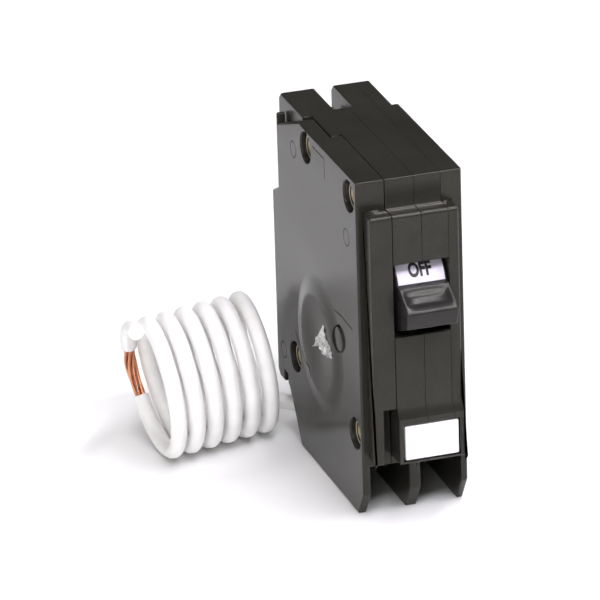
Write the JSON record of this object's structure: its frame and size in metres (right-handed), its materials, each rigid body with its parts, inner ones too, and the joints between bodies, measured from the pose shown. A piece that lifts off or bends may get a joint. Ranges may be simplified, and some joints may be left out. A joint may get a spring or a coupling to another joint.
{
  "type": "gfci circuit breaker",
  "caption": "Plug-on ground-fault circuit breaker, one pole, with toggle handle, test button, line jaw, trip works and a coiled white neutral pigtail",
  "frame": {"origin": "under the middle of the case's box, on the plane that the fin tips stand on; the pigtail is left out of that box", "axes": "+Z from the terminal fins up to the line end, -Y out of the handle's face, +X towards the right cover"},
  "size_m": [0.0646, 0.0895, 0.0831],
  "materials": {
    "black_phenolic": "moulded black phenolic, satin to glossy",
    "handle_plastic": "black lever with a white printed drum",
    "white_plastic": "white moulded plastic",
    "white_insulation": "white soft wire insulation",
    "brass": "pale plated brass rivets",
    "steel": "zinc-plated steel",
    "spring_steel": "spring steel wire and strip",
    "copper": "bare copper",
    "silver": "silver contact face",
    "foil": "crumpled silver foil",
    "fibre": "brown fibre board",
    "board_green": "green solder mask",
    "epoxy_black": "black epoxy",
    "ceramic_blue": "blue dipped coating",
    "ferrite": "dark tape-wound ring in its case",
    "winding_copper": "enamelled copper winding"
  },
  "bodies": {
    "case": {"left_cover": "black_phenolic", "electronics_case": "black_phenolic", "mechanism_case": "black_phenolic", "right_cover": "black_phenolic", "pigtail_grommet": "white_plastic", "pigtail_lead": "white_insulation", "pigtail_coil": "white_insulation", "pigtail_insulation_slug": "white_insulation", "rivet_top_rear": "brass", "rivet_top_front": "brass", "rivet_bottom_rear": "brass", "rivet_bottom_front": "brass", "cradle_pin": "steel", "magnet_yoke": "steel", "bimetal": "steel", "solenoid_frame": "steel", "load_lug": "steel", "neutral_lug": "steel", "jaw_spring": "spring_steel", "armature_spring": "spring_steel", "fixed_contact_bar": "copper", "stab_jaw": "copper", "braid": "copper", "load_conductor": "copper", "neutral_conductor": "copper", "hot_sensor_link": "copper", "pigtail_bare_copper": "copper", "fixed_contact": "silver", "foil_seal": "foil", "arc_chute": "fibre", "test_resistor": "fibre", "circuit_board": "board_green", "chip": "epoxy_black", "thyristor": "epoxy_black", "calibration_plug": "epoxy_black", "varistor": "ceramic_blue", "capacitor": "ceramic_blue", "sensor_core": "ferrite", "grounding_core": "ferrite", "solenoid_coil": "winding_copper"},
    "handle": {"handle": "handle_plastic", "arm_pivot_pin": "steel"},
    "contact_arm": {"contact_arm": "copper", "moving_contact": "silver", "toggle_spring": "spring_steel"},
    "cradle": {"cradle": "steel"},
    "armature": {"armature": "steel"},
    "plunger": {"solenoid_plunger": "steel", "plunger_spring": "spring_steel", "trip_link": "white_plastic"},
    "test_button": {"test_button": "white_plastic"},
    "test_contact": {"test_contact_spring": "copper"},
    "load_clamp": {"load_clamp": "steel"},
    "load_screw": {"load_screw": "steel"},
    "neutral_clamp": {"neutral_clamp": "steel"},
    "neutral_screw": {"neutral_screw": "steel"}
  },
  "joints": [
    {"name": "handle_throw", "type": "hinge", "parent": "case", "child": "handle", "pos_m": [0.00135, -0.0201, 0.0551], "axis": [-1, 0, 0], "range_deg": [0, 34]},
    {"name": "contact_arm_swing", "type": "hinge", "parent": "handle", "child": "contact_arm", "pos_m": [0.0057, -0.0117, 0.0566], "axis": [1, 0, 0], "range_deg": [0, 51.3]},
    {"name": "cradle_trip", "type": "hinge", "parent": "case", "child": "cradle", "pos_m": [0.00845, -0.0096, 0.043], "axis": [-1, 0, 0], "range_deg": [0, 18]},
    {"name": "armature_pull", "type": "hinge", "parent": "case", "child": "armature", "pos_m": [0.00705, 0.0062, 0.027], "axis": [-1, 0, 0], "range_deg": [0, 5], "stiffness_Nm_per_rad": 0.005},
    {"name": "solenoid_pull", "type": "slide", "parent": "case", "child": "plunger", "axis": [0, 1, 0], "range_m": [0, 0.00209]},
    {"name": "test_button_press", "type": "slide", "parent": "case", "child": "test_button", "axis": [0, 1, 0], "range_m": [0, 0.0015], "stiffness_N_per_m": 80},
    {"name": "test_contact_bend", "type": "hinge", "parent": "case", "child": "test_contact", "pos_m": [-0.00285, -0.0226, 0.041], "axis": [1, 0, 0], "range_deg": [0, 6]},
    {"name": "load_clamp_travel", "type": "slide", "parent": "case", "child": "load_clamp", "axis": [0, 1, 0], "range_m": [0, 0.00238]},
    {"name": "load_screw_turn", "type": "hinge", "parent": "load_clamp", "child": "load_screw", "pos_m": [0.00635, -0.0062, 0.0092], "axis": [0, 1, 0], "range_deg": [0, 1080]},
    {"name": "neutral_clamp_travel", "type": "slide", "parent": "case", "child": "neutral_clamp", "axis": [0, 1, 0], "range_m": [0, 0.00238]},
    {"name": "neutral_screw_turn", "type": "hinge", "parent": "neutral_clamp", "child": "neutral_screw", "pos_m": [-0.00585, -0.0062, 0.0092], "axis": [0, 1, 0], "range_deg": [0, 1080]}
  ],
  "couplings": [
    {"joint": "contact_arm_swing", "follows": "handle_throw", "ratio": 1.5059},
    {"joint": "armature_pull", "follows": "solenoid_pull", "rad_per_m": 41.6},
    {"joint": "test_contact_bend", "follows": "test_button_press", "rad_per_m": 68.97},
    {"joint": "load_screw_turn", "follows": "load_clamp_travel", "rad_per_m": 7913},
    {"joint": "neutral_screw_turn", "follows": "neutral_clamp_travel", "rad_per_m": 7913}
  ]
}
